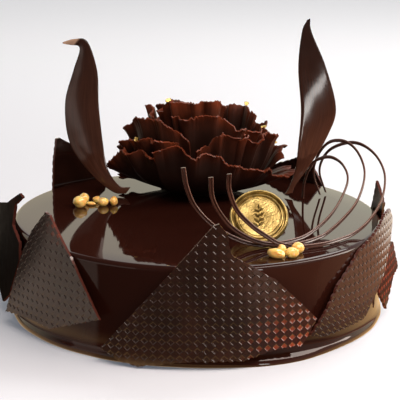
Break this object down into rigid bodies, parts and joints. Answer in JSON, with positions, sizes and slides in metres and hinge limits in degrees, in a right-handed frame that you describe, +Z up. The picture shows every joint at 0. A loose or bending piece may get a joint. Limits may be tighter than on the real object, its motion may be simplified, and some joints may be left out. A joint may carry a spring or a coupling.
{
  "type": "dutch truffle cake",
  "caption": "Round glazed chocolate truffle cake with embossed chocolate panels round its side, a ruffled chocolate flower, curled leaves, looped strands, a gold disc and caramelised nuts.",
  "frame": {"origin": "middle of the cake's flat underside", "axes": "+Z up; the front, where the gold disc leans and the strands curl up, is toward -Y; +X is to the right when facing the front"},
  "size_m": [0.2483, 0.23, 0.1661],
  "materials": {
    "glaze": "dark chocolate mirror glaze",
    "panel_chocolate": "tempered chocolate embossed with small pyramids",
    "leaf_chocolate": "smooth tempered chocolate, satin",
    "flower_chocolate": "thin scraped chocolate with torn rims",
    "strand_chocolate": "piped tempered chocolate, satin",
    "gold": "chocolate dusted with edible gold",
    "nut": "nut in clear golden caramel"
  },
  "bodies": {
    "root": {"cake": "glaze", "panel_front": "panel_chocolate", "panel_right": "panel_chocolate", "panel_right_far": "panel_chocolate", "panel_right_rear": "panel_chocolate", "panel_rear_right": "panel_chocolate", "panel_rear": "panel_chocolate", "panel_rear_left": "panel_chocolate", "panel_left_rear": "panel_chocolate", "panel_left": "panel_chocolate", "leaf_left": "leaf_chocolate", "leaf_right": "leaf_chocolate", "fan_a_left": "flower_chocolate", "fan_a_front": "flower_chocolate", "fan_a_rear": "flower_chocolate", "fan_b_left": "flower_chocolate", "fan_b_front": "flower_chocolate", "fan_b_right": "flower_chocolate", "fan_b_rear": "flower_chocolate", "fan_c_left": "flower_chocolate", "fan_c_front": "flower_chocolate", "fan_c_right": "flower_chocolate", "fan_c_rear": "flower_chocolate", "fan_d_left": "flower_chocolate", "fan_d_front": "flower_chocolate", "fan_d_right": "flower_chocolate", "fan_d_rear": "flower_chocolate", "fan_heart": "flower_chocolate", "strand_left": "strand_chocolate", "strand_middle": "strand_chocolate", "strand_right": "strand_chocolate", "gold_disc": "gold", "nut_left_1": "nut", "nut_left_2": "nut", "nut_left_3": "nut", "nut_left_4": "nut", "nut_left_5": "nut", "nut_left_6": "nut", "nut_front_1": "nut", "nut_front_2": "nut", "nut_front_3": "nut", "nut_front_4": "nut"}
  },
  "joints": []
}
